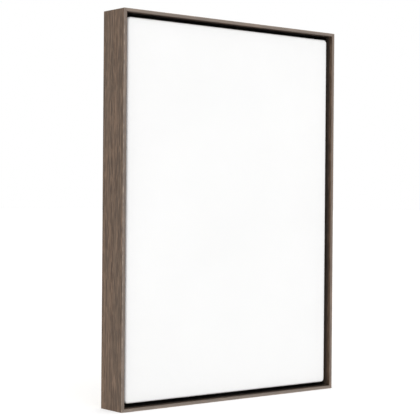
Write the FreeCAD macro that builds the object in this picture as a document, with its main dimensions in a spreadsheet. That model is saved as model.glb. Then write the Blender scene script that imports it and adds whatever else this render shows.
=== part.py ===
import FreeCAD, Part
import math
import os

import Sketcher

# A stretched canvas in a floater frame, in millimetres.
# Frame: +Z up, front facing -Y, +X to the right seen from the front. The origin is the middle of
# the underside: mid-width, mid-depth of frame and bumpers together, on the surface it stands on.
#
# Every frame piece and stretcher bar is drawn in a local frame of its own: its length along X, its outer
# edge on Z = 0, its inner edge at +Z, and Y as in the whole object. SIDES turns it to its side.

SIZES = {
    # stretched canvas
    "art_width": 254.0,          # 10 in
    "art_height": 355.6,         # 14 in
    "cloth": 0.5,                # primed cotton duck
    "flap_width": 30.0,          # cloth turned over the back of the bars
    "bar_depth": 18.0,
    "bar_width": 38.0,
    "bar_corner": 3.0,           # rounding of the bars' outer corners
    "bar_round": 2.0,            # rounding of the bars' front outer edge
    "bead_width": 6.0,           # full-depth rim that the cloth rests on
    "bead_fall": 1.5,            # how far the bar falls away behind that rim
    "tongue": 4.0,               # thickness of a corner tongue
    # floater frame
    "reveal": 4.0,               # open gap between canvas and frame
    "lip": 3.0,                  # thickness of the frame's wall
    "frame_depth": 33.0,
    "recess": 4.0,               # canvas below the frame's front edge
    "flange_width": 26.0,        # back flange, from the frame's outer face
    # corner keys
    "key_length": 32.0,
    "key_insert": 20.0,
    "key_head": 12.0,
    "key_tip": 6.0,
    "key_play": 0.1,
    # screws through the flange
    "screw_inset": 17.0,
    "screw_spread": 70.0,        # up and down from mid-height on the stiles
    "screw_radius": 1.75,
    "screw_length": 20.0,
    "screw_head": 3.4,
    "screw_hole": 2.0,
    # staples
    "staple_inset": 23.0,
    "staple_crown": 10.0,
    "staple_leg": 4.5,
    "staple_wide": 1.2,
    "staple_thick": 0.6,
    "staple_pitch": 28.0,
    # v-nails
    "vnail_leg": 5.0,
    "vnail_thick": 0.6,
    "vnail_deep": 7.0,
    "vnail_proud": 0.1,
    "vnail_first": 6.0,
    "vnail_second": 15.0,
    # ring hangers
    "hanger_drop": 90.0,         # hinge below the frame's top
    "hanger_inset": 23.5,
    "strap_length": 13.0,
    "strap_width": 9.0,
    "strap_thick": 0.8,
    "strap_end": 4.3,            # rounding of the strap's free end
    "strap_screw": 6.5,          # screw behind the hinge axis
    "strap_hole": 1.65,
    "hanger_screw_radius": 1.5,
    "hanger_screw_length": 9.0,
    "hanger_screw_head": 3.0,
    "ring_wire": 1.0,
    "ring_play": 0.08,
    "ring_half": 7.0,
    "ring_bend": 2.0,
    "ring_reach": 4.0,
    # wall bumpers
    "bumper_rise": 4.0,
    "bumper_radius": 5.0,
    "bumper_edge": 1.2,
    "bumper_from_side": 32.0,
    "bumper_from_base": 13.0,
}

FRAME_WIDTH = "(Sizes.art_width + 2 * Sizes.reveal + 2 * Sizes.lip)"
FRAME_HEIGHT = "(Sizes.art_height + 2 * Sizes.reveal + 2 * Sizes.lip)"
BAR_INSET = "(Sizes.lip + Sizes.reveal + Sizes.cloth)"
CLOTH_INSET = "(Sizes.lip + Sizes.reveal)"
BAR_SPAN = {"wide": "(Sizes.art_width - 2 * Sizes.cloth)", "tall": "(Sizes.art_height - 2 * Sizes.cloth)"}

# Levels from front to back, along Y.
FRONT = "(-(Sizes.frame_depth + Sizes.bumper_rise) / 2)"
BACK = f"({FRONT} + Sizes.frame_depth)"
CLOTH_FRONT = f"({FRONT} + Sizes.recess)"
BAR_FRONT = f"({CLOTH_FRONT} + Sizes.cloth)"
BAR_BACK = f"({BAR_FRONT} + Sizes.bar_depth)"
CLOTH_BACK = f"({BAR_BACK} + Sizes.cloth)"
BAR_MIDDLE = f"({BAR_FRONT} + Sizes.bar_depth / 2)"
SLAB = "(Sizes.bar_depth / 2 - Sizes.tongue)"
TONGUE_LEVEL = {
    "wide": f"({BAR_MIDDLE} - Sizes.tongue / 2)",
    "tall": f"({BAR_MIDDLE} + Sizes.tongue / 2)",
}
BARREL = "(Sizes.ring_wire + Sizes.ring_play + Sizes.strap_thick)"

# side: (which way it runs, turn about Y in degrees, place of its outer edge as x, z for an inset)
SIDES = {
    "bottom": ("wide", 0, "0", "{inset}"),
    "top": ("wide", 180, "0", FRAME_HEIGHT + " - {inset}"),
    "left": ("tall", 90, "-" + FRAME_WIDTH + " / 2 + {inset}", FRAME_HEIGHT + " / 2"),
    "right": ("tall", -90, FRAME_WIDTH + " / 2 - {inset}", FRAME_HEIGHT + " / 2"),
}
# The neighbour that the local +X end and the local -X end of each side meets.
ENDS = {
    "bottom": ("right", "left"),
    "top": ("left", "right"),
    "left": ("bottom", "top"),
    "right": ("top", "bottom"),
}
OTHER_WAY = {"wide": "tall", "tall": "wide"}

doc = FreeCAD.newDocument("floater_framed_canvas")
sizes = doc.addObject("Spreadsheet::Sheet", "Sizes")
for row, (alias, number) in enumerate(SIZES.items(), start=1):
    sizes.set(f"A{row}", alias)
    sizes.set(f"B{row}", str(number))
    sizes.setAlias(f"B{row}", alias)
doc.recompute()

nodes = []


def mm(expression):
    """The value of an expression over the sheet's sizes."""
    return float(sizes.evalExpression(expression))


# --- sketches and features -----------------------------------------------------------------------


def new_body(label, x="0", y="0", z="0", turn=0):
    """A body placed at x, y, z and turned about Y."""
    body = doc.addObject("PartDesign::Body", label)
    body.Label = label
    body.Placement.Rotation = FreeCAD.Rotation(FreeCAD.Vector(0, 1, 0), turn)
    for axis, place in zip("xyz", (x, y, z)):
        body.setExpression(f"Placement.Base.{axis}", place)
    nodes.append(body)
    return body


def side_body(label, side, inset):
    """A body on one of the four sides, its local Z = 0 at an inset from the frame's outer face."""
    turn, x, z = SIDES[side][1:]
    return new_body(label, x=x.format(inset=inset), z=z.format(inset=inset), turn=turn)


def origin_plane(body, role):
    return next(feature for feature in body.Origin.OriginFeatures if feature.Role == role)


def new_sketch(body, name, role, level):
    """A sketch on an origin plane; level moves a sketch on the XZ plane along Y."""
    sketch = body.newObject("Sketcher::SketchObject", name)
    sketch.AttachmentSupport = (origin_plane(body, role), [""])
    sketch.MapMode = "FlatFace"
    if level != "0":
        sketch.setExpression("AttachmentOffset.Base.z", f"-({level})")
    return sketch


def hold(sketch, geometry, point, across=None, up=None):
    """Tie a point of a sketch to distances from the sketch's origin."""
    for kind, place in (("DistanceX", across), ("DistanceY", up)):
        if place is not None:
            number = sketch.addConstraint(Sketcher.Constraint(kind, -1, 1, geometry, point, mm(place)))
            sketch.setExpression(f"Constraints[{number}]", place)


def outline(body, name, role, corners, level="0"):
    """A closed outline, counter-clockwise. A corner (across, up) starts a straight edge, and a
    corner (across, up, centre_across, centre_up) starts an arc about that centre."""
    sketch = new_sketch(body, name, role, level)
    spots = [FreeCAD.Vector(mm(corner[0]), mm(corner[1]), 0) for corner in corners]
    edges = []
    for here, corner in enumerate(corners):
        start, end = spots[here], spots[(here + 1) % len(spots)]
        if len(corner) == 2:
            edges.append(Part.LineSegment(start, end))
            continue
        centre = FreeCAD.Vector(mm(corner[2]), mm(corner[3]), 0)
        circle = Part.Circle(centre, FreeCAD.Vector(0, 0, 1), (start - centre).Length)
        angles = [math.atan2(spot.y - centre.y, spot.x - centre.x) for spot in (start, end)]
        edges.append(Part.ArcOfCircle(circle, *angles))
    sketch.addGeometry(edges)
    for here, corner in enumerate(corners):
        sketch.addConstraint(Sketcher.Constraint("Coincident", here, 2, (here + 1) % len(corners), 1))
        hold(sketch, here, 1, corner[0], corner[1])
        if len(corner) == 4:
            hold(sketch, here, 3, across=corner[2])
    return sketch


def add_circle(sketch, across, up, radius):
    centre = FreeCAD.Vector(mm(across), mm(up), 0)
    circle = sketch.addGeometry(Part.Circle(centre, FreeCAD.Vector(0, 0, 1), mm(radius)))
    hold(sketch, circle, 3, across, up)
    number = sketch.addConstraint(Sketcher.Constraint("Radius", circle, mm(radius)))
    sketch.setExpression(f"Constraints[{number}]", radius)


def rectangle(half_wide, low, high):
    return [(f"-({half_wide})", low), (half_wide, low), (half_wide, high), (f"-({half_wide})", high)]


def pad(body, name, sketch, length):
    feature = body.newObject("PartDesign::Pad", name)
    feature.Profile = sketch
    feature.SideType = "Symmetric"
    feature.setExpression("Length", length)
    sketch.Visibility = False
    return feature


def pocket(body, name, sketch, length=None):
    """A pocket both ways from its sketch, by a length or right through."""
    feature = body.newObject("PartDesign::Pocket", name)
    feature.Profile = sketch
    feature.SideType = "Symmetric"
    if length is None:
        feature.Type = "ThroughAll"
    else:
        feature.setExpression("Length", length)
    sketch.Visibility = False
    return feature


def mirror(body, features):
    """The same cuts at the other end of a piece."""
    feature = body.newObject("PartDesign::Mirrored", "BothEnds")
    feature.Originals = features
    feature.MirrorPlane = (origin_plane(body, "YZ_Plane"), [""])
    body.Tip = feature
    return feature


def fillet(body, name, radius, chosen):
    """Round the edges of the body's last feature that the test chosen(start, end) picks."""
    doc.recompute()
    base = body.Tip
    names = []
    for number, edge in enumerate(base.Shape.Edges, start=1):
        ends = [vertex.Point for vertex in edge.Vertexes]
        if len(ends) == 2 and chosen(*ends):
            names.append(f"Edge{number}")
    feature = body.newObject("PartDesign::Fillet", name)
    feature.Base = (base, names)
    feature.setExpression("Radius", radius)
    body.Tip = feature
    return feature


def runs_along(axis, **places):
    """A test for straight edges along an axis that lie at the given places."""
    others = [name for name in "xyz" if name != axis]

    def test(start, end):
        if any(abs(getattr(start, name) - getattr(end, name)) > 1e-6 for name in others):
            return False
        for name, place in places.items():
            if abs(abs(getattr(start, name)) - abs(place)) > 1e-6:
                return False
        return True

    return test


# --- floater frame -------------------------------------------------------------------------------


def frame_piece(label, side):
    """An L-shaped moulding: a thin wall, and a flange at the back, mitred at both ends."""
    way = SIDES[side][0]
    length = FRAME_WIDTH if way == "wide" else FRAME_HEIGHT
    body = side_body(label, side, "0")
    section = outline(body, "Section", "YZ_Plane", [
        (FRONT, "0"),
        (BACK, "0"),
        (BACK, "Sizes.flange_width"),
        (CLOTH_BACK, "Sizes.flange_width"),
        (CLOTH_BACK, "Sizes.lip"),
        (FRONT, "Sizes.lip"),
    ])
    pad(body, "Moulding", section, length)
    corner = outline(body, "Corner", "XZ_Plane", [
        (f"{length} / 2", "0"),
        (f"{length} / 2", "Sizes.flange_width"),
        (f"{length} / 2 - Sizes.flange_width", "Sizes.flange_width"),
    ])
    mirror(body, [pocket(body, "Mitre", corner)])
    spots = new_sketch(body, "ScrewSpots", "XZ_Plane", "0")
    for spot in screw_spots(way):
        add_circle(spots, spot, "Sizes.screw_inset", "Sizes.screw_hole")
    pocket(body, "ScrewHoles", spots)
    return body


def screw_spots(way):
    """Places of the fixing screws along one side, from its middle."""
    return ["0"] if way == "wide" else ["-Sizes.screw_spread", "Sizes.screw_spread"]


# --- stretcher bars and keys ---------------------------------------------------------------------


def key_width(depth):
    """Width of a key's taper where it is depth below the bar's inner edge."""
    taper = "(Sizes.key_head - Sizes.key_tip) / Sizes.key_length"
    return f"(Sizes.key_tip + {taper} * (Sizes.key_insert - {depth}))"


def stretcher_bar(label, side):
    """A bar with a raised rim, and at each end a mitred front and back slab, a tongue that fills
    the corner, and a slot for the other bar's tongue with room for a key beside it."""
    way = SIDES[side][0]
    half = f"({BAR_SPAN[way]} / 2)"
    body = side_body(label, side, BAR_INSET)
    section = outline(body, "Section", "YZ_Plane", [
        (BAR_FRONT, "0"), (BAR_BACK, "0"), (BAR_BACK, "Sizes.bar_width"), (BAR_FRONT, "Sizes.bar_width"),
    ])
    pad(body, "Bar", section, BAR_SPAN[way])
    fillet(body, "OuterCorners", "Sizes.bar_corner", runs_along("y", x=mm(half), z=0))
    fillet(body, "FrontEdge", "Sizes.bar_round", runs_along("x", y=mm(BAR_FRONT), z=0))
    fall = outline(body, "Fall", "YZ_Plane", [
        (BAR_FRONT, "Sizes.bead_width"),
        (f"{BAR_FRONT} + Sizes.bead_fall", "Sizes.bar_width"),
        (BAR_FRONT, "Sizes.bar_width"),
    ])
    pocket(body, "FallFromRim", fall)
    mitre = [(half, "0"), (half, "Sizes.bar_width"), (f"{half} - Sizes.bar_width", "Sizes.bar_width")]
    cuts = []
    for name, level in (("Front", f"{BAR_FRONT} + {SLAB} / 2"), ("Back", f"{BAR_BACK} - {SLAB} / 2")):
        corner = outline(body, f"{name}Corner", "XZ_Plane", mitre, level)
        cuts.append(pocket(body, f"{name}Mitre", corner, SLAB))
    slot = outline(body, "SlotShape", "XZ_Plane", [
        (half, "0"),
        (half, "Sizes.bar_width"),
        (f"{half} - Sizes.bar_width - 2 * Sizes.key_play - {key_width('0')}", "Sizes.bar_width"),
        (f"{half} - Sizes.bar_width - 2 * Sizes.key_play - {key_width('Sizes.bar_width')}", "0"),
    ], TONGUE_LEVEL[OTHER_WAY[way]])
    cuts.append(pocket(body, "Slot", slot, "Sizes.tongue"))
    mirror(body, cuts)
    return body


def corner_key(label, side, end):
    """A wedge driven in from the bar's inner edge, between the bar's slot and the tongue in it.
    end is 1 at the bar's local +X end and -1 at its local -X end."""
    way = SIDES[side][0]
    body = side_body(label, side, BAR_INSET)
    straight = f"({BAR_SPAN[way]} / 2 - Sizes.bar_width - Sizes.key_play)"
    tip = "Sizes.bar_width - Sizes.key_insert"
    head = f"{tip} + Sizes.key_length"
    corners = [
        (f"{straight} - Sizes.key_tip", tip),
        (straight, tip),
        (straight, head),
        (f"{straight} - Sizes.key_head", head),
    ]
    if end < 0:
        corners = [(f"-({across})", up) for across, up in reversed(corners)]
    shape = outline(body, "Wedge", "XZ_Plane", corners, TONGUE_LEVEL[OTHER_WAY[way]])
    pad(body, "Key", shape, "Sizes.tongue - 2 * Sizes.key_play")
    return body


# --- cloth ---------------------------------------------------------------------------------------


def rounded(half, low, high, radius):
    """Corners of an upright rectangle with rounded corners."""
    inner, floor, ceiling = f"{half} - {radius}", f"{low} + {radius}", f"{high} - {radius}"
    return [
        (f"-({inner})", low),
        (inner, low, inner, floor),
        (half, floor),
        (half, ceiling, inner, ceiling),
        (inner, high),
        (f"-({inner})", high, f"-({inner})", ceiling),
        (f"-({half})", ceiling),
        (f"-({half})", floor, f"-({inner})", floor),
    ]


def canvas(label):
    """Cloth over the front and sides of the bars, turned over their backs as a flat margin."""
    body = new_body(label, z=CLOTH_INSET)
    half = "Sizes.art_width / 2"
    shape = rounded(half, "0", "Sizes.art_height", "(Sizes.bar_corner + Sizes.cloth)")
    block = outline(body, "Outside", "XZ_Plane", shape, f"({CLOTH_FRONT} + {BAR_BACK}) / 2")
    pad(body, "Wrapped", block, f"{BAR_BACK} - {CLOTH_FRONT}")
    fillet(body, "FrontEdges", "Sizes.bar_round + Sizes.cloth",
           runs_along("x", y=mm(CLOTH_FRONT), z=0))
    doc.recompute()
    wrapped = body.Tip
    faces = enumerate(wrapped.Shape.Faces, start=1)
    back = [f"Face{number}" for number, face in faces if face.CenterOfMass.y > mm(BAR_BACK) - 1e-3]
    shell = body.newObject("PartDesign::Thickness", "Cloth")
    shell.Base = (wrapped, back)
    shell.setExpression("Value", "Sizes.cloth")
    shell.Reversed = True
    body.Tip = shell
    turned_over = outline(body, "TurnedOver", "XZ_Plane", shape, f"({BAR_BACK} + {CLOTH_BACK}) / 2")
    pad(body, "Back", turned_over, "Sizes.cloth")
    margin = "(Sizes.cloth + Sizes.flap_width)"
    window = outline(body, "Window", "XZ_Plane", rectangle(
        f"{half} - {margin}", margin, f"Sizes.art_height - {margin}"), BAR_BACK)
    pocket(body, "BackWindow", window, "3 * Sizes.cloth")
    return body


# --- fasteners, each kind one group of separate solids --------------------------------------------


def group(label, solids):
    """One node of separate solids, already in place."""
    feature = doc.addObject("Part::Feature", label)
    feature.Label = label
    feature.Shape = Part.makeCompound(solids)
    feature.Placement = FreeCAD.Placement()
    nodes.append(feature)
    return feature


def side_frame(side, inset):
    """The placement that side_body gives its body."""
    turn, x, z = SIDES[side][1:]
    base = FreeCAD.Vector(mm(x.format(inset=inset)), 0, mm(z.format(inset=inset)))
    return FreeCAD.Placement(base, FreeCAD.Rotation(FreeCAD.Vector(0, 1, 0), turn))


def placed(shape, frame, along, level, up):
    """A copy of a shape at a spot of a side's local frame."""
    copy = shape.copy()
    spot = FreeCAD.Placement(FreeCAD.Vector(along, level, up), FreeCAD.Rotation())
    copy.Placement = frame.multiply(spot)
    return copy


def screw(radius, length, head_radius):
    """A pan-head screw with a cross recess, its head's underside on Y = 0 and its point at -Y."""
    head_height = 0.55 * head_radius
    point = 2 * radius
    recess = 0.5 * head_height
    rim = FreeCAD.Vector(head_radius, 0.3 * head_height, 0)
    crown = FreeCAD.Vector(0.86 * head_radius, 0.75 * head_height, 0)
    top = FreeCAD.Vector(0.5 * head_radius, head_height, 0)
    straight = [
        top, FreeCAD.Vector(0, head_height, 0), FreeCAD.Vector(0, -length, 0),
        FreeCAD.Vector(radius, point - length, 0), FreeCAD.Vector(radius, 0, 0),
        FreeCAD.Vector(head_radius, 0, 0), rim,
    ]
    edges = [Part.makeLine(start, end) for start, end in zip(straight, straight[1:])]
    edges.append(Part.Arc(rim, crown, top).toShape())
    solid = Part.Face(Part.Wire(edges)).revolve(FreeCAD.Vector(), FreeCAD.Vector(0, 1, 0), 360)
    wide, long = 0.26 * head_radius, 1.1 * head_radius
    for size_x, size_z in ((wide, long), (long, wide)):
        corner = FreeCAD.Vector(-size_x / 2, head_height - recess, -size_z / 2)
        solid = solid.cut(Part.makeBox(size_x, head_height, size_z, corner))
    return solid


def fixing_screws():
    shape = screw(mm("Sizes.screw_radius"), mm("Sizes.screw_length"), mm("Sizes.screw_head"))
    solids = []
    for side, (way, *_) in SIDES.items():
        frame = side_frame(side, "0")
        for spot in screw_spots(way):
            solids.append(placed(shape, frame, mm(spot), mm(BACK), mm("Sizes.screw_inset")))
    return group("fixing_screws", solids)


def staple():
    """A staple with its crown along X, lying on Y = 0, and its legs towards -Y."""
    crown, wide, thick = (mm(f"Sizes.staple_{name}") for name in ("crown", "wide", "thick"))
    leg = mm("Sizes.staple_leg")
    solid = Part.makeBox(crown, thick, wide, FreeCAD.Vector(-crown / 2, 0, -wide / 2))
    for start in (-crown / 2, crown / 2 - thick):
        solid = solid.fuse(Part.makeBox(thick, leg, wide, FreeCAD.Vector(start, -leg, -wide / 2)))
    return solid.removeSplitter()


def staple_spots(way):
    """Even places along a bar, clear of the keys, and one on the fold at each end."""
    half = mm(f"{BAR_SPAN[way]} / 2")
    reach = half - mm("Sizes.bar_width + 2 * Sizes.key_head")
    count = 2 * round(reach / mm("Sizes.staple_pitch")) + 1
    even = [reach * (2 * number / (count - 1) - 1) for number in range(count)]
    fold = half - mm("Sizes.flap_width")
    return [-fold] + even + [fold]


def canvas_staples():
    shape = staple()
    solids = []
    for side, (way, *_) in SIDES.items():
        frame = side_frame(side, BAR_INSET)
        for along in staple_spots(way):
            solids.append(placed(shape, frame, along, mm(CLOTH_BACK), mm("Sizes.staple_inset")))
    return group("canvas_staples", solids)


def frame_v_nails():
    """Bent plates across the mitres, two at each corner, driven in from the back."""
    leg, thick, deep, proud = (mm(f"Sizes.vnail_{name}") for name in ("leg", "thick", "deep", "proud"))
    half, tall = mm(FRAME_WIDTH) / 2, mm(FRAME_HEIGHT)
    solids = []
    for side in (-1, 1):
        for low in (True, False):
            for first in (mm("Sizes.vnail_first"), mm("Sizes.vnail_second")):
                bend = [
                    (0, 0), (leg, 0), (leg, thick), (thick, thick), (thick, leg), (0, leg), (0, 0),
                ]
                corners = []
                for across, up in bend:
                    height = first + up
                    corners.append(FreeCAD.Vector(
                        side * (half - first - across), mm(BACK) - deep, height if low else tall - height))
                face = Part.Face(Part.makePolygon(corners))
                solids.append(face.extrude(FreeCAD.Vector(0, deep + proud, 0)))
    return group("frame_v_nails", solids)


# --- ring hangers and bumpers --------------------------------------------------------------------

# side: (turn about Y, sign of the place along X)
HANGERS = {"left": (0, "-"), "right": (180, "")}


def hanger_body(label, side, level):
    """A body with its local Z axis on the hanger's hinge line and +X towards the frame's middle."""
    turn, sign = HANGERS[side]
    across = f"{sign}({FRAME_WIDTH} / 2 - Sizes.hanger_inset)"
    return new_body(label, x=across, y=level, z=f"{FRAME_HEIGHT} - Sizes.hanger_drop", turn=turn)


def hanger_strap(label, side):
    """A strip rolled round the ring's straight leg at one end, rounded and drilled at the other."""
    body = hanger_body(label, side, BACK)
    inside = f"({BARREL} - Sizes.strap_thick)"
    shape = outline(body, "Rolled", "XY_Plane", [
        ("-Sizes.strap_length", "0"),
        ("0", "0", "0", BARREL),
        (f"-sqrt({BARREL} ^ 2 - {inside} ^ 2)", "Sizes.strap_thick"),
        ("-Sizes.strap_length", "Sizes.strap_thick"),
    ])
    add_circle(shape, "0", BARREL, "Sizes.ring_wire + Sizes.ring_play")
    pad(body, "Strip", shape, "Sizes.strap_width")
    fillet(body, "RoundEnd", "Sizes.strap_end", runs_along("y", x=mm("Sizes.strap_length")))
    spot = new_sketch(body, "ScrewSpot", "XZ_Plane", "0")
    add_circle(spot, "-Sizes.strap_screw", "0", "Sizes.strap_hole")
    pocket(body, "ScrewHole", spot)
    return body


def hanger_ring(label, side):
    """A closed D of round wire, its straight leg on the hinge line."""
    body = hanger_body(label, side, f"{BACK} + {BARREL}")
    half, bend, reach = "Sizes.ring_half", "Sizes.ring_bend", "Sizes.ring_reach"
    leg = f"({half} - {bend})"
    path = outline(body, "Path", "XZ_Plane", [
        ("0", leg),
        ("0", f"-{leg}", bend, f"-{leg}"),
        (bend, f"-{half}"),
        (reach, f"-{half}", reach, "0"),
        (reach, half),
        (bend, half, bend, leg),
    ])
    wire = new_sketch(body, "Wire", "XY_Plane", "0")
    add_circle(wire, "0", "0", "Sizes.ring_wire")
    doc.recompute()
    ring = body.newObject("PartDesign::AdditivePipe", "Ring")
    ring.Profile = wire
    ring.Spine = path
    return body


def hanger_screws():
    shape = screw(mm("Sizes.hanger_screw_radius"), mm("Sizes.hanger_screw_length"),
                  mm("Sizes.hanger_screw_head"))
    inset = mm("Sizes.hanger_inset - Sizes.strap_screw")
    along = mm(f"{FRAME_HEIGHT} / 2 - Sizes.hanger_drop")
    level = mm(f"{BACK} + Sizes.strap_thick")
    solids = [
        placed(shape, side_frame("left", "0"), -along, level, inset),
        placed(shape, side_frame("right", "0"), along, level, inset),
    ]
    return group("hanger_screws", solids)


def wall_bumper(label, sign):
    """A round stick-on bumper with a softened rim, on the back of the bottom frame piece."""
    body = new_body(label, x=f"{sign}({FRAME_WIDTH} / 2 - Sizes.bumper_from_side)", y=BACK,
                    z="Sizes.bumper_from_base")
    radius, rise, edge = "Sizes.bumper_radius", "Sizes.bumper_rise", "Sizes.bumper_edge"
    shape = outline(body, "HalfSection", "XY_Plane", [
        ("0", "0"),
        (radius, "0"),
        (radius, f"{rise} - {edge}", f"{radius} - {edge}", f"{rise} - {edge}"),
        (f"{radius} - {edge}", rise),
        ("0", rise),
    ])
    turned = body.newObject("PartDesign::Revolution", "Bumper")
    turned.Profile = shape
    turned.ReferenceAxis = (origin_plane(body, "Y_Axis"), [""])
    turned.Angle = 360
    return body


# --- the whole object ----------------------------------------------------------------------------

for name, side in (("rail_top", "top"), ("rail_bottom", "bottom"), ("stile_left", "left"),
                   ("stile_right", "right")):
    frame_piece(f"frame_{name}", side)
frame_v_nails()
for side in SIDES:
    stretcher_bar(f"stretcher_bar_{side}", side)
    for end, neighbour in zip((1, -1), ENDS[side]):
        corner_key(f"key_{side}_bar_{neighbour}", side, end)
canvas("canvas")
canvas_staples()
fixing_screws()
for side, sign in (("left", "-"), ("right", "")):
    hanger_strap(f"hanger_strap_{side}", side)
    hanger_ring(f"hanger_ring_{side}", side)
    wall_bumper(f"wall_bumper_{side}", sign)
hanger_screws()
doc.recompute()

for thing in doc.Objects:
    if "Invalid" in thing.State or "Error" in thing.State:
        raise RuntimeError(f"{thing.Label} failed: {thing.State}")
    if thing.TypeId == "PartDesign::Pocket":
        if thing.Shape.Volume > thing.BaseFeature.Shape.Volume - 1e-3:
            raise RuntimeError(f"{thing.Label} cut nothing")
for node in nodes:
    if node.Shape.isNull() or not node.Shape.isValid():
        raise RuntimeError(f"{node.Label} has no valid shape")

os.makedirs("parts", exist_ok=True)
for node in nodes:
    node.Shape.exportStep(f"parts/{node.Label}.step")
    print(f"{node.Label}: {len(node.Shape.Solids)} solid(s), {node.Shape.Volume / 1000:.3f} cm3")
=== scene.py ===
import math
import random

import bmesh
import bpy
from mathutils import Matrix, Vector, noise as bnoise


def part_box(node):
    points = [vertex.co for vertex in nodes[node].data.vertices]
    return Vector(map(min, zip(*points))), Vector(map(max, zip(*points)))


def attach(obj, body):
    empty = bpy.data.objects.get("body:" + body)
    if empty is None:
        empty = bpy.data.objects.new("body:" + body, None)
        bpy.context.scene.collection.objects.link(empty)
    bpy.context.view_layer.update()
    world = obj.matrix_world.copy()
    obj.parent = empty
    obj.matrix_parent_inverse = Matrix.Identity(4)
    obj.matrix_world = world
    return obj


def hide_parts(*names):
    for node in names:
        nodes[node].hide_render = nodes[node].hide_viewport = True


# A stretched canvas in a floater frame, in metres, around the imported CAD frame.
# Front facing -Y, +Z up, standing on Z = 0.

MM = 0.001
ROOT = "framed_canvas"

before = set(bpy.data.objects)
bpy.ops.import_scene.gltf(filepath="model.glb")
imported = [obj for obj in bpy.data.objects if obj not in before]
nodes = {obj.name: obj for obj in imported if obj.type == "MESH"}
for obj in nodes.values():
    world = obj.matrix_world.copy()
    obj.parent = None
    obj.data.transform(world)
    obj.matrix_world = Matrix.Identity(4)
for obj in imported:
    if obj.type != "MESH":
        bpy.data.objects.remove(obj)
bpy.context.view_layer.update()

STILES = ("frame_stile_left", "frame_stile_right")
RAILS = ("frame_rail_top", "frame_rail_bottom")
WIDE_BARS = ("stretcher_bar_top", "stretcher_bar_bottom")
TALL_BARS = ("stretcher_bar_left", "stretcher_bar_right")
LEVEL_BAR_KEYS = [name for name in nodes if name.startswith(("key_top", "key_bottom"))]
TALL_BAR_KEYS = [name for name in nodes if name.startswith(("key_left", "key_right"))]

frame_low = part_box("frame_stile_left")[0]
frame_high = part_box("frame_stile_right")[1]
FRONT, BACK = frame_low.y, frame_high.y
HALF_WIDTH = frame_high.x
HEIGHT = frame_high.z
MIDDLE = Vector((0, (FRONT + BACK) / 2, HEIGHT / 2))
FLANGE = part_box("frame_rail_bottom")[1].z
CLOTH_LOW, CLOTH_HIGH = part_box("canvas")


# --- node helpers ----------------------------------------------------------------------------------


def rgb(text):
    """A colour written as six hex digits, as the linear values that shaders take."""
    parts = [int(text[i:i + 2], 16) / 255 for i in (0, 2, 4)]
    return [c / 12.92 if c <= 0.04045 else ((c + 0.055) / 1.055) ** 2.4 for c in parts] + [1.0]


def add(tree, kind, inputs=None, **settings):
    """A node, with its settings, and its inputs given as values or as sockets to link."""
    node = tree.nodes.new(kind)
    for name, value in settings.items():
        setattr(node, name, value)
    for name, value in (inputs or {}).items():
        if isinstance(value, bpy.types.NodeSocket):
            tree.links.new(value, node.inputs[name])
        else:
            node.inputs[name].default_value = value
    return node


def new_material(name, roughness, **shader):
    """A material with a Principled shader. Returns the material, its tree and the shader."""
    material = bpy.data.materials.new(name)
    material.use_nodes = True
    tree = material.node_tree
    shade = tree.nodes["Principled BSDF"]
    shade.inputs["Roughness"].default_value = roughness
    for socket, value in shader.items():
        shade.inputs[socket.replace("_", " ")].default_value = value
    return material, tree, shade


def place(tree):
    """Position in the row's own frame, in metres."""
    return add(tree, "ShaderNodeTexCoord").outputs["Object"]


def scaled(tree, vector, scale):
    return add(tree, "ShaderNodeVectorMath", {0: vector, 1: scale}, operation="MULTIPLY").outputs[0]


def noise(tree, vector, scale=1.0, detail=2.0, roughness=0.5, distortion=0.0):
    return add(tree, "ShaderNodeTexNoise", {
        "Vector": vector, "Scale": scale, "Detail": detail, "Roughness": roughness,
        "Distortion": distortion,
    }).outputs["Fac"]


def calc(tree, operation, first, second=0.0):
    return add(tree, "ShaderNodeMath", {0: first, 1: second}, operation=operation).outputs[0]


def between(tree, value, low, high, to_low=0.0, to_high=1.0):
    """A value from low to high spread smoothly over to_low to to_high."""
    return add(tree, "ShaderNodeMapRange", {
        "Value": value, "From Min": low, "From Max": high, "To Min": to_low, "To Max": to_high,
    }, interpolation_type="SMOOTHSTEP").outputs[0]


def mixed(tree, share, first, second, blend="MIX"):
    return add(tree, "ShaderNodeMix", {0: share, 6: first, 7: second}, data_type="RGBA",
               blend_type=blend).outputs[2]


def ramp(tree, value, stops):
    node = add(tree, "ShaderNodeValToRGB", {"Fac": value})
    while len(node.color_ramp.elements) < len(stops):
        node.color_ramp.elements.new(0.5)
    for element, (spot, colour) in zip(node.color_ramp.elements, stops):
        element.position = spot
        element.color = colour
    return node.outputs["Color"]


def bump(tree, shade, *layers):
    """Bump from layers of (height socket, depth in metres), the first one lowest."""
    normal = None
    for height, depth in layers:
        inputs = {"Height": height, "Distance": depth, "Strength": 1.0}
        if normal is not None:
            inputs["Normal"] = normal
        normal = add(tree, "ShaderNodeBump", inputs).outputs["Normal"]
    tree.links.new(normal, shade.inputs["Normal"])


def grain_space(tree, along, across_per_m, along_per_m, board=0):
    """Position stretched so that noise of scale 1 makes streaks along one axis. Each board number
    gives another stretch of grain."""
    scale = [across_per_m] * 3
    scale["xyz".index(along)] = along_per_m
    return add(tree, "ShaderNodeVectorMath", {
        0: place(tree), 1: scale, 2: (17.3 * board, 31.7 * board, 53.9 * board),
    }, operation="MULTIPLY_ADD").outputs[0]


# --- materials -------------------------------------------------------------------------------------


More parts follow.
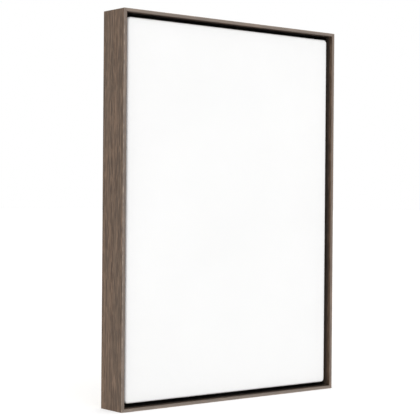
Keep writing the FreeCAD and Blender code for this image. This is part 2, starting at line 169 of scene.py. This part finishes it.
def raw_wood(tree, along, pale, dark, board=0):
    """Colour and height of plain planed wood with growth lines along an axis."""
    swell = noise(tree, grain_space(tree, along, 75, 2.4, board), detail=1.5, roughness=0.4)
    lines = calc(tree, "SINE", calc(tree, "MULTIPLY", swell, 62))
    streaks = noise(tree, grain_space(tree, along, 700, 9, board), detail=3)
    fibres = noise(tree, grain_space(tree, along, 2400, 60, board), detail=2)
    colour = mixed(tree, between(tree, lines, -0.4, 1.0, 0.0, 0.8), pale, dark)
    colour = mixed(tree, between(tree, streaks, 0.5, 0.75, 0.0, 0.45), colour, dark)
    colour = mixed(tree, between(tree, fibres, 0.3, 0.8, 0.0, 0.3), colour, dark)
    return colour, fibres


def bar_wood(name, along, board, pale="dcc29b", dark="c19c6c"):
    material, tree, shade = new_material(name, 0.62)
    colour, fibres = raw_wood(tree, along, rgb(pale), rgb(dark), board)
    patches = noise(tree, place(tree), scale=28, detail=3)
    colour = mixed(tree, between(tree, patches, 0.5, 0.75, 0.0, 0.3), colour, rgb("b98f62"))
    tree.links.new(colour, shade.inputs["Base Color"])
    tree.links.new(between(tree, fibres, 0.2, 0.8, 0.52, 0.7), shade.inputs["Roughness"])
    bump(tree, shade, (fibres, 0.12 * MM))
    return material


def grey_brown_stain(tree, along, board):
    """Colour, streaks and pores of the frame's stained face: fine straight grain that drifts
    between warm brown and grey, with a faint arched figure."""
    drift = noise(tree, grain_space(tree, along, 110, 6, board), detail=3, distortion=0.3)
    swell = noise(tree, grain_space(tree, along, 62, 3.2, board + 0.5), detail=1, roughness=0.4)
    figure = calc(tree, "SINE", calc(tree, "MULTIPLY", swell, 75))
    streaks = noise(tree, grain_space(tree, along, 620, 16, board), detail=5, roughness=0.62,
                    distortion=0.25)
    flecks = noise(tree, grain_space(tree, along, 780, 85, board + 0.3), detail=2)
    fibres = noise(tree, grain_space(tree, along, 2600, 70, board), detail=2)
    pores = noise(tree, grain_space(tree, along, 1500, 75, board), detail=1)
    colour = ramp(tree, drift, [(0.34, rgb("544333")), (0.46, rgb("5a4838")), (0.56, rgb("604a38")),
                                (0.7, rgb("68533f"))])
    colour = mixed(tree, between(tree, figure, -0.3, 1.0, 0.0, 0.14), colour, rgb("453427"))
    colour = mixed(tree, between(tree, streaks, 0.42, 0.68, 0.0, 0.74), colour, rgb("3c2a1d"))
    colour = mixed(tree, between(tree, streaks, 0.5, 0.26, 0.0, 0.5), colour, rgb("856b57"))
    colour = mixed(tree, between(tree, flecks, 0.52, 0.72, 0.0, 0.7), colour, rgb("36261a"))
    colour = mixed(tree, between(tree, flecks, 0.48, 0.3, 0.0, 0.55), colour, rgb("8a6f5a"))
    colour = mixed(tree, between(tree, pores, 0.6, 0.72, 0.0, 0.6), colour, rgb("2c1f15"))
    colour = mixed(tree, calc(tree, "MULTIPLY", fibres, 0.16), colour, rgb("7a634d"))
    return colour, streaks, pores, fibres


HALF_WALL = 1.5 * MM       # half of the frame's front edge: beyond it lie only inner faces
PAINT_START = 8.8 * MM     # the black paint inside starts this far behind the front
BARE_START = 25 * MM       # behind this depth the flange's edge is bare wood


def frame_wood(name, along, board):
    """Stained outside, painted black deep inside and raw at the back, told apart by the depth
    behind the front and the distance from the outer faces."""
    material, tree, shade = new_material(name, 0.5, Specular_IOR_Level=0.35)
    spot = add(tree, "ShaderNodeSeparateXYZ", {0: place(tree)})
    depth = calc(tree, "SUBTRACT", spot.outputs["Y"], FRONT)
    from_side = calc(tree, "SUBTRACT", HALF_WIDTH, calc(tree, "ABSOLUTE", spot.outputs["X"]))
    off_middle = calc(tree, "ABSOLUTE", calc(tree, "SUBTRACT", spot.outputs["Z"], HEIGHT / 2))
    from_end = calc(tree, "SUBTRACT", HEIGHT / 2, off_middle)
    inward = calc(tree, "MINIMUM", from_side, from_end)
    ragged = noise(tree, place(tree), scale=150, detail=4)
    wander = calc(tree, "MULTIPLY", calc(tree, "SUBTRACT", ragged, 0.5), 1.6 * MM)

    stain, streaks, pores, fibres = grey_brown_stain(tree, along, board)
    # The thin front edge is painted paler and greyer, a painted reflection of the light in front, more of
    # it on the rails.
    paler = 0.36 if along == "z" else 0.5
    front_sheen = between(tree, depth, 0.9 * MM, 0.1 * MM, 0.0, paler)
    stain = mixed(tree, front_sheen, stain, rgb("8f867f"))
    # The inner face is painted darker the deeper it lies in the reveal: painted shade.
    reveal_shade = calc(tree, "MULTIPLY", between(tree, inward, HALF_WALL - 0.1 * MM, HALF_WALL + 0.9 * MM),
                  between(tree, depth, 0.2 * MM, 6 * MM, 0.12, 0.68))
    stain = mixed(tree, reveal_shade, stain, rgb("2b2a2a"))
    # The arrises round the front are painted paler in patches, and those of the corners a little: partly
    # worn, partly a painted highlight along the edges.
    front_arris = between(tree, calc(tree, "MAXIMUM", inward, depth), 0.7 * MM, 0.25 * MM)
    corner_arris = between(tree, calc(tree, "MAXIMUM", from_side, from_end), 0.8 * MM, 0.3 * MM, 0.0, 0.35)
    wear_and_highlight = calc(tree, "MULTIPLY", calc(tree, "MAXIMUM", front_arris, corner_arris),
                  between(tree, ragged, 0.42, 0.66, 0.1, 0.6))
    stain = mixed(tree, wear_and_highlight, stain, rgb("b0a191"))

    # Bare wood shows on the back, up to a ragged line of stain round its rim, and on the flange's edge.
    wood, _ = raw_wood(tree, along, rgb("cbb899"), rgb("ac9470"), board + 7)
    at_back = between(tree, depth, BACK - FRONT - 0.25 * MM, BACK - FRONT - 0.1 * MM)
    off_rim = between(tree, calc(tree, "ADD", inward, wander), 0.5 * MM, 0.9 * MM)
    at_flange_edge = between(tree, inward, FLANGE - 0.4 * MM, FLANGE - 0.2 * MM)
    behind_paint = between(tree, calc(tree, "ADD", depth, wander), BARE_START, BARE_START + 1 * MM)
    bare = calc(tree, "MAXIMUM", calc(tree, "MULTIPLY", at_back, off_rim),
                calc(tree, "MULTIPLY", at_flange_edge, behind_paint))
    colour = mixed(tree, bare, stain, wood)

    paint_line = calc(tree, "ADD", depth, calc(tree, "MULTIPLY", wander, 0.5))
    deep = between(tree, paint_line, PAINT_START - 0.4 * MM, PAINT_START + 0.4 * MM)
    on_inner_face = between(tree, inward, HALF_WALL - 0.1 * MM, HALF_WALL + 0.1 * MM)
    painted = calc(tree, "MULTIPLY", deep, on_inner_face)
    painted = calc(tree, "MULTIPLY", painted, calc(tree, "SUBTRACT", 1.0, bare))
    black = ramp(tree, ragged, [(0.3, rgb("15110e")), (0.7, rgb("1f1a16"))])
    colour = mixed(tree, painted, colour, black)
    tree.links.new(colour, shade.inputs["Base Color"])
    tree.links.new(between(tree, streaks, 0.3, 0.7, 0.44, 0.6), shade.inputs["Roughness"])
    bump(tree, shade, (streaks, 0.10 * MM), (pores, 0.06 * MM), (fibres, 0.04 * MM))
    return material


WEAVE_PITCH = 0.62 * MM    # one wave of the weave, which is two threads of the cloth


def weave(tree):
    """Height of a plain weave, over and under threads of uneven thickness, on faces that look
    along any axis."""
    wobble = noise(tree, place(tree), scale=220, detail=3)
    spot = add(tree, "ShaderNodeSeparateXYZ", {0: place(tree)})
    looks = add(tree, "ShaderNodeSeparateXYZ", {0: add(tree, "ShaderNodeNewGeometry").outputs["Normal"]})
    waves = {}
    for axis in "XYZ":
        along = calc(tree, "MULTIPLY", spot.outputs[axis], 2 * math.pi / WEAVE_PITCH)
        waves[axis] = calc(tree, "SINE", calc(tree, "ADD", along, calc(tree, "MULTIPLY", wobble, 1.1)))
    crossed = None
    for axis, first, second in ("YXZ", "XYZ", "ZXY"):
        facing = calc(tree, "MULTIPLY", looks.outputs[axis], looks.outputs[axis])
        threads = calc(tree, "MULTIPLY", calc(tree, "MULTIPLY", waves[first], waves[second]), facing)
        crossed = threads if crossed is None else calc(tree, "ADD", crossed, threads)
    return between(tree, crossed, -1.0, 1.0)


def primed_cloth():
    """White acrylic primer, brushed thinly enough that the weave still shows."""
    material, tree, shade = new_material("primed_cloth", 0.62, Specular_IOR_Level=0.3)
    threads = weave(tree)
    blotch = noise(tree, place(tree), scale=9, detail=3)
    slubs = noise(tree, scaled(tree, place(tree), (900, 900, 90)), detail=2)
    white = ramp(tree, blotch, [(0.3, rgb("eaeaea")), (0.7, rgb("ededed"))])
    # Painted shade: the hollows between the threads are painted greyer.
    white = mixed(tree, between(tree, threads, 0.55, 0.1, 0.0, 0.3), white, rgb("cdcdc9"))
    tree.links.new(white, shade.inputs["Base Color"])
    bump(tree, shade, (threads, 0.06 * MM), (slubs, 0.03 * MM))
    return material


def raw_cloth():
    """Unprimed cotton duck: natural cream, plain weave, thicker threads here and there both ways."""
    material, tree, shade = new_material("raw_cloth", 0.9, Sheen_Weight=0.25, Sheen_Roughness=0.5)
    threads = weave(tree)
    patches = noise(tree, place(tree), scale=30, detail=4)
    cream = ramp(tree, patches, [(0.3, rgb("d6cbb4")), (0.7, rgb("e2d9c5"))])
    # Painted shade: the hollows between the threads are painted darker.
    cream = mixed(tree, between(tree, threads, 0.6, 0.1, 0.0, 0.6), cream, rgb("a99a7c"))
    for stretch in ((1500, 1500, 45), (45, 1500, 1500)):
        thick = noise(tree, scaled(tree, place(tree), stretch), detail=2)
        cream = mixed(tree, between(tree, thick, 0.6, 0.74, 0.0, 0.28), cream, rgb("a08e6d"))
    tree.links.new(cream, shade.inputs["Base Color"])
    bump(tree, shade, (threads, 0.14 * MM), (patches, 0.05 * MM))
    return material


def plated_steel(name, bright, dull, roughness, tarnish=0.35):
    """Plated steel with fine drawn marks and faint tarnish."""
    material, tree, shade = new_material(name, roughness, Metallic=1.0)
    marks = noise(tree, scaled(tree, place(tree), (9000, 700, 9000)), detail=2)
    stains = noise(tree, place(tree), scale=420, detail=4)
    colour = mixed(tree, between(tree, stains, 0.45, 0.7, 0.0, tarnish), rgb(bright), rgb(dull))
    colour = mixed(tree, calc(tree, "MULTIPLY", marks, 0.2), colour, rgb(dull))
    tree.links.new(colour, shade.inputs["Base Color"])
    tree.links.new(between(tree, stains, 0.3, 0.7, roughness - 0.06, roughness + 0.1),
                   shade.inputs["Roughness"])
    bump(tree, shade, (marks, 0.01 * MM))
    return material


def bumper_rubber():
    material, tree, shade = new_material("bumper_rubber", 0.7)
    mottle = noise(tree, place(tree), scale=1800, detail=3)
    colour = ramp(tree, mottle, [(0.3, rgb("1b1b1c")), (0.7, rgb("2a2a2b"))])
    tree.links.new(colour, shade.inputs["Base Color"])
    bump(tree, shade, (mottle, 0.04 * MM))
    return material


# --- CAD pieces keep their shape and get soft arrises and a finish ---------------------------------


FRAME_ARRIS, BAR_ARRIS, KEY_ARRIS = 0.25 * MM, 0.3 * MM, 0.2 * MM


def dress(names, material, arris=None):
    """Give CAD pieces a material and, where arris is given, edges rounded by that much."""
    for name in names:
        piece = nodes[name]
        piece.data.materials.clear()
        piece.data.materials.append(material)
        if arris:
            join = piece.modifiers.new("joined", "WELD")
            join.merge_threshold = 0.001 * MM
            merge = piece.modifiers.new("flat_faces", "DECIMATE")
            merge.decimate_type = "DISSOLVE"
            merge.angle_limit = math.radians(0.5)
            soften = piece.modifiers.new("arris", "BEVEL")
            soften.width = arris
            soften.segments = 2
            soften.limit_method = "ANGLE"
            soften.angle_limit = math.radians(35)
            soften.harden_normals = True


# --- cloth -----------------------------------------------------------------------------------------

CLOTH = 0.5 * MM           # thickness
CORNER = 3.5 * MM          # rounding of the upright corners
FRONT_ROUND = 1.8 * MM     # rounding of the front edge over the bars
BACK_ROUND = 0.8 * MM      # rounding where the cloth turns onto the back of the bars
FOLD_ROUND = 0.8 * MM      # in-plane rounding at a corner fold
FACE_BORDER = 6 * MM       # from the canvas's side to the even grid of its face
FLAP = 30.5 * MM           # from the canvas's side to the cut edge
# Rows of points across the turned-over margin, closer together where it stands loose.
MARGIN_ROWS = [inset * MM for inset in (2.7, 8, 14, 18, 19.5, 21, 22.5, 24, 25.5, 27, 28.8)] + [FLAP]
UNDER_FLANGE = FLANGE - (HALF_WIDTH - CLOTH_HIGH.x)    # how much of the margin the flange covers
ACROSS, ALONG = 72, 100    # steps along a level side and along an upright one
CORNER_STEPS, FRONT_STEPS, SIDE_STEPS, BACK_STEPS = 8, 6, 5, 3

STAPLE_GRIP = 4.5 * MM     # a staple presses the margin flat as far along as this
STAPLE_REACH = 14 * MM     # and has no hold on it from here on
LOOSE_LIFT, LOOSE_SWELL = 0.42 * MM, 0.3 * MM      # how far it stands off between staples
EDGE_START = 24.5 * MM     # the strip along the cut edge curls up from here on
EDGE_LIFT, EDGE_SWELL = 0.16 * MM, 0.14 * MM
FOLD_LIFT = 0.6 * MM       # the step over the cloth folded under a corner
FOLD_FADES = 3 * MM, 17 * MM    # where that step fades out beside the mitre
RAGGED = 0.7 * MM          # how far the cut edge strays

THREADS = 190              # loose thread ends along the cut edge
LEVEL_SHARE = 0.42         # how many of them are on the top and bottom edges
CORNER_GAP = 4 * MM        # none are this near the cut edge's corners
THREAD_SPOTS, THREAD_SIDES = 5, 5
THREAD_ROOT = 0.6 * MM     # how far a thread starts under the edge
THREAD_SINK = 0.25 * MM    # how far below the back of the cloth it starts
THREAD_ARCH, THREAD_DROOP = 0.35 * MM, 0.12 * MM


def smooth(value, low, high):
    share = min(max((value - low) / (high - low), 0.0), 1.0)
    return share * share * (3 - 2 * share)


def separate_boxes(node):
    """The (lowest, highest) corners of each separate solid of a CAD node."""
    solids = bmesh.new()
    solids.from_mesh(nodes[node].data)
    bmesh.ops.remove_doubles(solids, verts=solids.verts, dist=1e-6)
    boxes, seen = [], set()
    for start in solids.verts:
        if start in seen:
            continue
        seen.add(start)
        island, waiting = [], [start]
        while waiting:
            vertex = waiting.pop()
            island.append(vertex.co.copy())
            for edge in vertex.link_edges:
                other = edge.other_vert(vertex)
                if other not in seen:
                    seen.add(other)
                    waiting.append(other)
        boxes.append([Vector(pick(co[axis] for co in island) for axis in range(3))
                      for pick in (min, max)])
    solids.free()
    return boxes


def staple_rows():
    """Places of the staples along each way, as {way: [(place along, which side), ...]}."""
    rows = {"x": [], "z": []}
    for low, high in separate_boxes("canvas_staples"):
        centre = (low + high) / 2
        if high.x - low.x > high.z - low.z:
            rows["x"].append((centre.x, centre.z > MIDDLE.z))
        else:
            rows["z"].append((centre.z, centre.x > MIDDLE.x))
    return rows


def edge_distances(point):
    """How far a point lies from the canvas's nearer side and from its nearer end."""
    return (min(point.x - CLOTH_LOW.x, CLOTH_HIGH.x - point.x),
            min(point.z - CLOTH_LOW.z, CLOTH_HIGH.z - point.z))


def cloth_ring(inset, level, radius):
    """An upright rectangle of points with rounded corners, once round from the bottom left."""
    left, right = CLOTH_LOW.x + inset + radius, CLOTH_HIGH.x - inset - radius
    bottom, top = CLOTH_LOW.z + inset + radius, CLOTH_HIGH.z - inset - radius
    centres = [(left, bottom), (right, bottom), (right, top), (left, top)]
    points = []
    for side, steps in enumerate((ACROSS, ALONG, ACROSS, ALONG)):
        from_x, from_z = centres[side]
        centre_x, centre_z = centres[(side + 1) % len(centres)]
        angle = 90 * side - 90
        out = math.radians(angle)
        off_x, off_z = radius * math.cos(out), radius * math.sin(out)
        for step in range(steps + 1):
            share = step / steps
            points.append(Vector((from_x + (centre_x - from_x) * share + off_x, level,
                                  from_z + (centre_z - from_z) * share + off_z)))
        for step in range(1, CORNER_STEPS):
            out = math.radians(angle + 90 * step / CORNER_STEPS)
            points.append(Vector((centre_x + radius * math.cos(out), level,
                                  centre_z + radius * math.sin(out))))
    return points


def lift_flap(point, inset, rows):
    """Move a point of the turned-over margin: pressed down by staples, loose between them, and
    raised where the corner fold lies under it."""
    from_side, from_end = edge_distances(point)
    if from_end < from_side:
        row, place_along, far = rows["x"], point.x, point.z > MIDDLE.z
    else:
        row, place_along, far = rows["z"], point.z, point.x > MIDDLE.x
    gap = min(abs(place_along - spot) for spot, side in row if side == far)
    swell = bnoise.noise(point * 90)
    loose = smooth(inset, UNDER_FLANGE + 0.5 * MM, FLAP) * smooth(gap, STAPLE_GRIP, STAPLE_REACH)
    lift = loose * (LOOSE_LIFT + LOOSE_SWELL * swell)
    lift += smooth(inset, EDGE_START, FLAP) * (EDGE_LIFT + EDGE_SWELL * swell)
    # The fold lies under the level sides' margin, beside the mitre.
    beside = from_side - from_end
    folded = smooth(beside, -0.55 * MM, 0.25 * MM) * (1 - smooth(beside, *FOLD_FADES))
    lift += FOLD_LIFT * folded * smooth(inset, UNDER_FLANGE + 0.2 * MM, UNDER_FLANGE + 2.5 * MM)
    point.y += lift


def cut_edge(point):
    """Move a point of the cut edge in or out a little, square to the side it is on."""
    ragged = RAGGED * (bnoise.noise(point * 45) + 0.5 * bnoise.noise(point * 260))
    towards_x = math.copysign(1, MIDDLE.x - point.x)
    towards_z = math.copysign(1, MIDDLE.z - point.z)
    from_side, from_end = edge_distances(point)
    if from_side < from_end + 2 * MM:
        point.x += towards_x * ragged
    if from_end < from_side + 2 * MM:
        point.z += towards_z * ragged


def cloth_rings():
    """The canvas's rings from the edge of its front face, round the sides, to the cut edge."""
    front, back = CLOTH_LOW.y, CLOTH_HIGH.y
    rings = [cloth_ring(FACE_BORDER, front, 0), cloth_ring(CORNER, front, 0)]
    for step in range(FRONT_STEPS + 1):
        angle = math.pi / 2 * step / FRONT_STEPS
        inset = FRONT_ROUND * (1 - math.sin(angle))
        rings.append(cloth_ring(inset, front + FRONT_ROUND * (1 - math.cos(angle)), CORNER - inset))
    side_start, side_end = front + FRONT_ROUND, back - BACK_ROUND
    for step in range(1, SIDE_STEPS):
        rings.append(cloth_ring(0, side_start + (side_end - side_start) * step / SIDE_STEPS, CORNER))
    for step in range(BACK_STEPS + 1):
        angle = math.pi / 2 * step / BACK_STEPS
        inset = BACK_ROUND * (1 - math.cos(angle))
        rings.append(cloth_ring(inset, back - BACK_ROUND * (1 - math.sin(angle)), CORNER - inset))
    rows = staple_rows()
    for inset in MARGIN_ROWS:
        ring = cloth_ring(inset, back, max(CORNER - inset, FOLD_ROUND))
        for point in ring:
            lift_flap(point, inset, rows)
            if inset >= FLAP:
                cut_edge(point)
        rings.append(ring)
    return rings


def new_piece(name, mesh):
    piece = bpy.data.objects.new(name, mesh)
    bpy.context.scene.collection.objects.link(piece)
    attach(piece, ROOT)
    return piece


def join_rings(mesh, rings):
    """Faces between each closed ring of corners and the next."""
    for ring, following in zip(rings, rings[1:]):
        for here in range(len(ring)):
            ahead = (here + 1) % len(ring)
            mesh.faces.new((ring[here], following[here], following[ahead], ring[ahead]))


def cloth_skin():
    """The outside of the cloth: a flat front, rounded edges and corners, and a margin behind."""
    skin = bmesh.new()
    rings = [[skin.verts.new(point) for point in ring] for ring in cloth_rings()]
    join_rings(skin, rings)
    low, high = rings[0][0].co, rings[0][ACROSS + CORNER_STEPS + ALONG].co
    grid = [[skin.verts.new((low.x + (high.x - low.x) * column / ACROSS, low.y,
                             low.z + (high.z - low.z) * row / ALONG))
             for column in range(ACROSS + 1)] for row in range(ALONG + 1)]
    for below, above in zip(grid, grid[1:]):
        for column in range(ACROSS):
            skin.faces.new((below[column], below[column + 1], above[column + 1], above[column]))
    bmesh.ops.remove_doubles(skin, verts=skin.verts, dist=1e-6)
    bmesh.ops.dissolve_degenerate(skin, edges=skin.edges, dist=1e-7)
    bmesh.ops.recalc_face_normals(skin, faces=skin.faces)
    in_front = Vector((0, -1, MIDDLE.z))
    middle_front = min(skin.faces, key=lambda face: (face.calc_center_median() - in_front).length)
    if middle_front.normal.y > 0:
        bmesh.ops.reverse_faces(skin, faces=skin.faces)
    mesh = bpy.data.meshes.new("stretched_canvas")
    skin.to_mesh(mesh)
    skin.free()
    return mesh


def stretched_cloth():
    """The cloth with its thickness, primed outside and raw inside and along the cut edge."""
    mesh = cloth_skin()
    mesh.materials.append(primed_cloth())
    mesh.materials.append(raw_cloth())
    shell = bpy.data.objects.new("shell", mesh)
    bpy.context.scene.collection.objects.link(shell)
    thick = shell.modifiers.new("thickness", "SOLIDIFY")
    thick.thickness = CLOTH
    thick.offset = -1
    thick.use_even_offset = True
    thick.material_offset = 1
    thick.material_offset_rim = 1
    solid = bpy.data.meshes.new_from_object(shell.evaluated_get(bpy.context.evaluated_depsgraph_get()))
    bpy.data.objects.remove(shell)
    solid.shade_smooth()
    solid.set_sharp_from_angle(angle=math.radians(60))
    cloth = new_piece("stretched_canvas", solid)
    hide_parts("canvas")
    return cloth


def add_thread(threads, spots, radius):
    """A closed tube through the spots."""
    rings = []
    for here, spot in enumerate(spots):
        run = (spots[min(here + 1, len(spots) - 1)] - spots[max(here - 1, 0)]).normalized()
        across = run.cross(Vector((0, 1, 0))).normalized()
        over = across.cross(run)
        angles = [math.tau * side / THREAD_SIDES for side in range(THREAD_SIDES)]
        rings.append([threads.verts.new(spot + radius * (math.cos(angle) * across + math.sin(angle) * over))
                      for angle in angles])
    join_rings(threads, rings)
    threads.faces.new(rings[0])
    threads.faces.new(list(reversed(rings[-1])))


def frayed_threads():
    """Loose thread ends along the cut edge, lying on the back of the bars."""
    draw = random.Random(11)
    half_width, half_height = (CLOTH_HIGH.x - CLOTH_LOW.x) / 2, (CLOTH_HIGH.z - CLOTH_LOW.z) / 2
    threads = bmesh.new()
    for _ in range(THREADS):
        on_level_side = draw.random() < LEVEL_SHARE
        side = 1 if draw.random() < 0.5 else -1
        reach = (half_width if on_level_side else half_height) - FLAP - CORNER_GAP
        along = draw.uniform(-reach, reach)
        root = side * ((half_height if on_level_side else half_width) - FLAP + THREAD_ROOT)
        lean = draw.gauss(0, 0.35)
        length = draw.uniform(1.2, 3.6) * MM
        curl = draw.gauss(0, 0.5)
        radius = draw.uniform(0.06, 0.1) * MM
        spots = []
        for step in range(THREAD_SPOTS):
            share = step / (THREAD_SPOTS - 1)
            drifted = along + length * share * (lean + curl * share)
            inward = root - side * length * share
            arch = THREAD_ARCH * math.sin(math.pi * share) * draw.uniform(0.4, 1)
            level = CLOTH_HIGH.y - THREAD_SINK + arch - THREAD_DROOP * share
            if on_level_side:
                spots.append(Vector((drifted, level, MIDDLE.z + inward)))
            else:
                spots.append(Vector((inward, level, MIDDLE.z + drifted)))
        add_thread(threads, spots, radius)
    mesh = bpy.data.meshes.new("frayed_threads")
    threads.to_mesh(mesh)
    threads.free()
    mesh.shade_smooth()
    mesh.materials.append(raw_cloth())
    return new_piece("frayed_threads", mesh)


# --- stage, light and camera -----------------------------------------------------------------------


def make_camera():
    """A long lens in front and to the left, level with the middle of the canvas, where the photo's
    straight edges put the camera."""
    yaw, pitch, roll = (math.radians(angle) for angle in (39.25, -0.267, 0.44))
    distance, across, up_shift = 1.2632, -0.0141, 0.0006
    ahead = Vector((math.sin(yaw) * math.cos(pitch), math.cos(yaw) * math.cos(pitch), math.sin(pitch)))
    right = Vector((math.cos(yaw), -math.sin(yaw), 0))
    up = right.cross(ahead)
    turn = Matrix.Rotation(-roll, 3, ahead)
    right, up = turn @ right, turn @ up
    data = bpy.data.cameras.new("camera")
    data.lens = 109.7
    data.clip_end = 100
    camera = bpy.data.objects.new("camera", data)
    bpy.context.scene.collection.objects.link(camera)
    spot = MIDDLE + across * right + up_shift * up - distance * ahead
    camera.matrix_world = Matrix.Translation(spot) @ Matrix((right, up, -ahead)).transposed().to_4x4()
    bpy.context.scene.camera = camera


def make_sun(name, strength, azimuth, height, softness):
    """A wide soft light. Azimuth is where it stands: 0 in front, 90 on the right."""
    data = bpy.data.lights.new(name, "SUN")
    data.energy = strength
    data.angle = math.radians(softness)
    light = bpy.data.objects.new(name, data)
    azimuth, height = math.radians(azimuth), math.radians(height)
    towards = Vector((math.sin(azimuth) * math.cos(height), -math.cos(azimuth) * math.cos(height),
                      math.sin(height)))
    light.rotation_euler = towards.to_track_quat("Z", "Y").to_euler()
    bpy.context.scene.collection.objects.link(light)


def make_stage():
    """A pale floor that glows a little, under an even white sky."""
    mesh = bpy.data.meshes.new("floor")
    reach = 30
    mesh.from_pydata([(-reach, -reach, 0), (reach, -reach, 0), (reach, reach, 0), (-reach, reach, 0)],
                     [], [(0, 1, 2, 3)])
    floor = bpy.data.objects.new("floor", mesh)
    bpy.context.scene.collection.objects.link(floor)
    material, _, _ = new_material("floor", 0.9, Base_Color=(0.6, 0.6, 0.6, 1),
                                  Emission_Color=(1, 1, 1, 1), Emission_Strength=0.42)
    mesh.materials.append(material)
    world = bpy.data.worlds.new("studio")
    world.use_nodes = True
    sky = world.node_tree.nodes["Background"]
    sky.inputs["Color"].default_value = (1, 1, 1, 1)
    sky.inputs["Strength"].default_value = 1.0
    bpy.context.scene.world = world
    bpy.context.scene.view_settings.view_transform = "Standard"


# --- the setting and the object --------------------------------------------------------------------

make_camera()
make_stage()
make_sun("key", 0.55, -8, 40, 60)
make_sun("fill", 0.25, -15, 8, 70)

# Each board has its own stretch of grain along its length.
for board, name in enumerate(STILES + RAILS):
    along = "z" if name in STILES else "x"
    dress([name], frame_wood(f"wood_of_{name}", along, board), arris=FRAME_ARRIS)
for board, name in enumerate(TALL_BARS + WIDE_BARS):
    along = "z" if name in TALL_BARS else "x"
    dress([name], bar_wood(f"wood_of_{name}", along, board), arris=BAR_ARRIS)
dress(LEVEL_BAR_KEYS, bar_wood("key_wood_upright", "z", 4, "e4cda6", "cdab7c"), arris=KEY_ARRIS)
dress(TALL_BAR_KEYS, bar_wood("key_wood_level", "x", 5, "e4cda6", "cdab7c"), arris=KEY_ARRIS)
cloth = stretched_cloth()
fray = frayed_threads()
dress(["canvas_staples", "frame_v_nails"], plated_steel("staple_steel", "b4b5b8", "75777a", 0.36))
dress(["fixing_screws", "hanger_screws"], plated_steel("screw_steel", "bdb59c", "8a8068", 0.32))
dress(["hanger_strap_left", "hanger_strap_right", "hanger_ring_left", "hanger_ring_right"],
      plated_steel("hanger_steel", "bab7af", "7f7b72", 0.28))
dress(["wall_bumper_left", "wall_bumper_right"], bumper_rubber())
